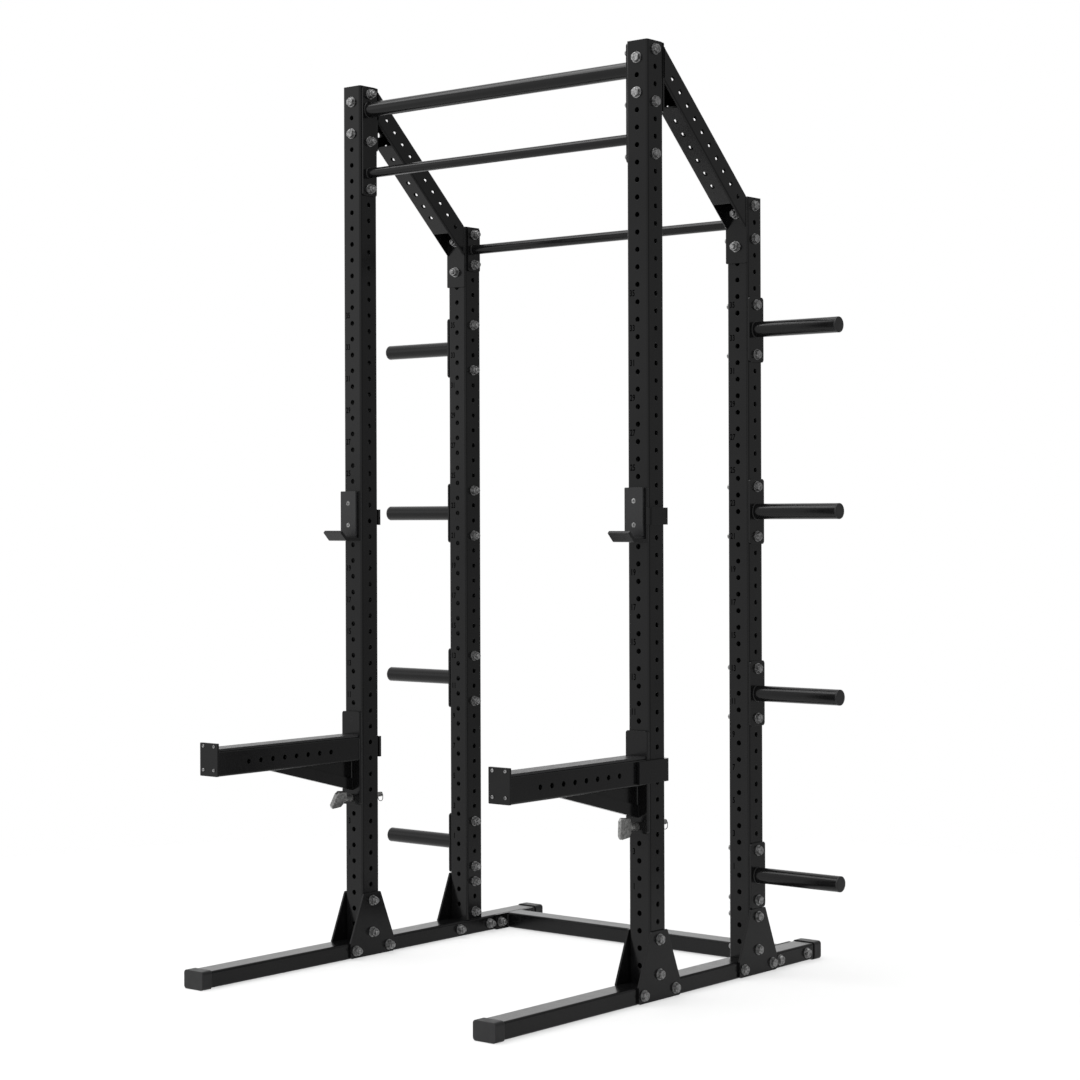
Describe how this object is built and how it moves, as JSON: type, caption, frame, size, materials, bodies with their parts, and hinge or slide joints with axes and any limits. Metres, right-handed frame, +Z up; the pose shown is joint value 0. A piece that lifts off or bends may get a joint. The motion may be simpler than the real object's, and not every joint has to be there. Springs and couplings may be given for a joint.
{
  "type": "power cage",
  "caption": "Half-rack style power cage with tall front and shorter rear uprights, slanted top rails, pull-up bars, J-cups, spotter arms and side weight pegs.",
  "frame": {"origin": "centre of the footprint's outer box on the floor", "axes": "+X to the right seen from the front, -Y the open front with the J-cups, +Z up"},
  "size_m": [1.8382, 1.5974, 2.797],
  "materials": {
    "black_coat": "glossy black powder coat",
    "zinc_fasteners": "dull zinc plating",
    "cast_steel": "silver-grey cast and turned steel",
    "dark_wire": "dark spring wire",
    "black_plastic": "satin black moulded plastic",
    "black_liner": "smooth black low-friction sheet"
  },
  "bodies": {
    "frame": {"base_end_caps": "black_plastic", "base_tube_left": "black_coat", "base_tube_right": "black_coat", "frame_bolts": "zinc_fasteners", "frame_nuts": "zinc_fasteners", "frame_washers": "zinc_fasteners", "front_pull_up_bars": "black_coat", "gusset_front_inner_left": "black_coat", "gusset_front_inner_right": "black_coat", "gusset_front_outer_left": "black_coat", "gusset_front_outer_right": "black_coat", "gusset_rear_left": "black_coat", "gusset_rear_right": "black_coat", "rear_cross_flanges": "black_coat", "rear_cross_tube": "black_coat", "rear_pull_up_bar": "black_coat", "spotter_arm_left": "black_coat", "spotter_arm_right": "black_coat", "spotter_liner_left": "black_liner", "spotter_liner_right": "black_liner", "spotter_pin_left": "black_coat", "spotter_pin_right": "black_coat", "spotter_stop_left": "black_coat", "spotter_stop_right": "black_coat", "spotter_stop_screws": "zinc_fasteners", "spotter_strip_left": "black_liner", "spotter_strip_right": "black_liner", "top_rail_left": "black_coat", "top_rail_right": "black_coat", "upright_front_left": "black_coat", "upright_front_right": "black_coat", "upright_rear_left": "black_coat", "upright_rear_right": "black_coat", "upright_top_plugs": "black_plastic", "weight_peg_caps": "black_plastic", "weight_peg_left_1": "black_coat", "weight_peg_left_2": "black_coat", "weight_peg_left_3": "black_coat", "weight_peg_left_4": "black_coat", "weight_peg_right_1": "black_coat", "weight_peg_right_2": "black_coat", "weight_peg_right_3": "black_coat", "weight_peg_right_4": "black_coat"},
    "jcup_left": {"jcup_bracket_left": "black_coat", "jcup_face_pad_left": "black_liner", "jcup_liner_left": "black_liner", "jcup_pin_left": "black_coat", "jcup_screws_left": "zinc_fasteners", "jcup_shelf_pad_left": "black_liner"},
    "hitch_pin_left": {"hitch_pin_left": "cast_steel"},
    "hitch_ring_left": {"hitch_ring_left": "dark_wire"},
    "jcup_right": {"jcup_bracket_right": "black_coat", "jcup_face_pad_right": "black_liner", "jcup_liner_right": "black_liner", "jcup_pin_right": "black_coat", "jcup_screws_right": "zinc_fasteners", "jcup_shelf_pad_right": "black_liner"},
    "hitch_pin_right": {"hitch_pin_right": "cast_steel"},
    "hitch_ring_right": {"hitch_ring_right": "dark_wire"}
  },
  "joints": [
    {"name": "jcup_roll_left", "type": "hinge", "parent": "frame", "child": "jcup_left", "pos_m": [-0.57468, -0.06775, 1.4762], "axis": [0, 1, 0], "range_deg": [0, 90]},
    {"name": "hitch_pin_pull_left", "type": "slide", "parent": "frame", "child": "hitch_pin_left", "axis": [0, -1, 0], "range_m": [0, 0.035]},
    {"name": "hitch_ring_swing_left", "type": "hinge", "parent": "hitch_pin_left", "child": "hitch_ring_left", "pos_m": [-0.57468, 0.01825, 0.511], "axis": [1, 0, 0], "range_deg": [-20, 90]},
    {"name": "jcup_roll_right", "type": "hinge", "parent": "frame", "child": "jcup_right", "pos_m": [0.57468, -0.06775, 1.4762], "axis": [0, -1, 0], "range_deg": [0, 90]},
    {"name": "hitch_pin_pull_right", "type": "slide", "parent": "frame", "child": "hitch_pin_right", "axis": [0, -1, 0], "range_m": [0, 0.035]},
    {"name": "hitch_ring_swing_right", "type": "hinge", "parent": "hitch_pin_right", "child": "hitch_ring_right", "pos_m": [0.57468, 0.01825, 0.511], "axis": [1, 0, 0], "range_deg": [-20, 90]}
  ]
}
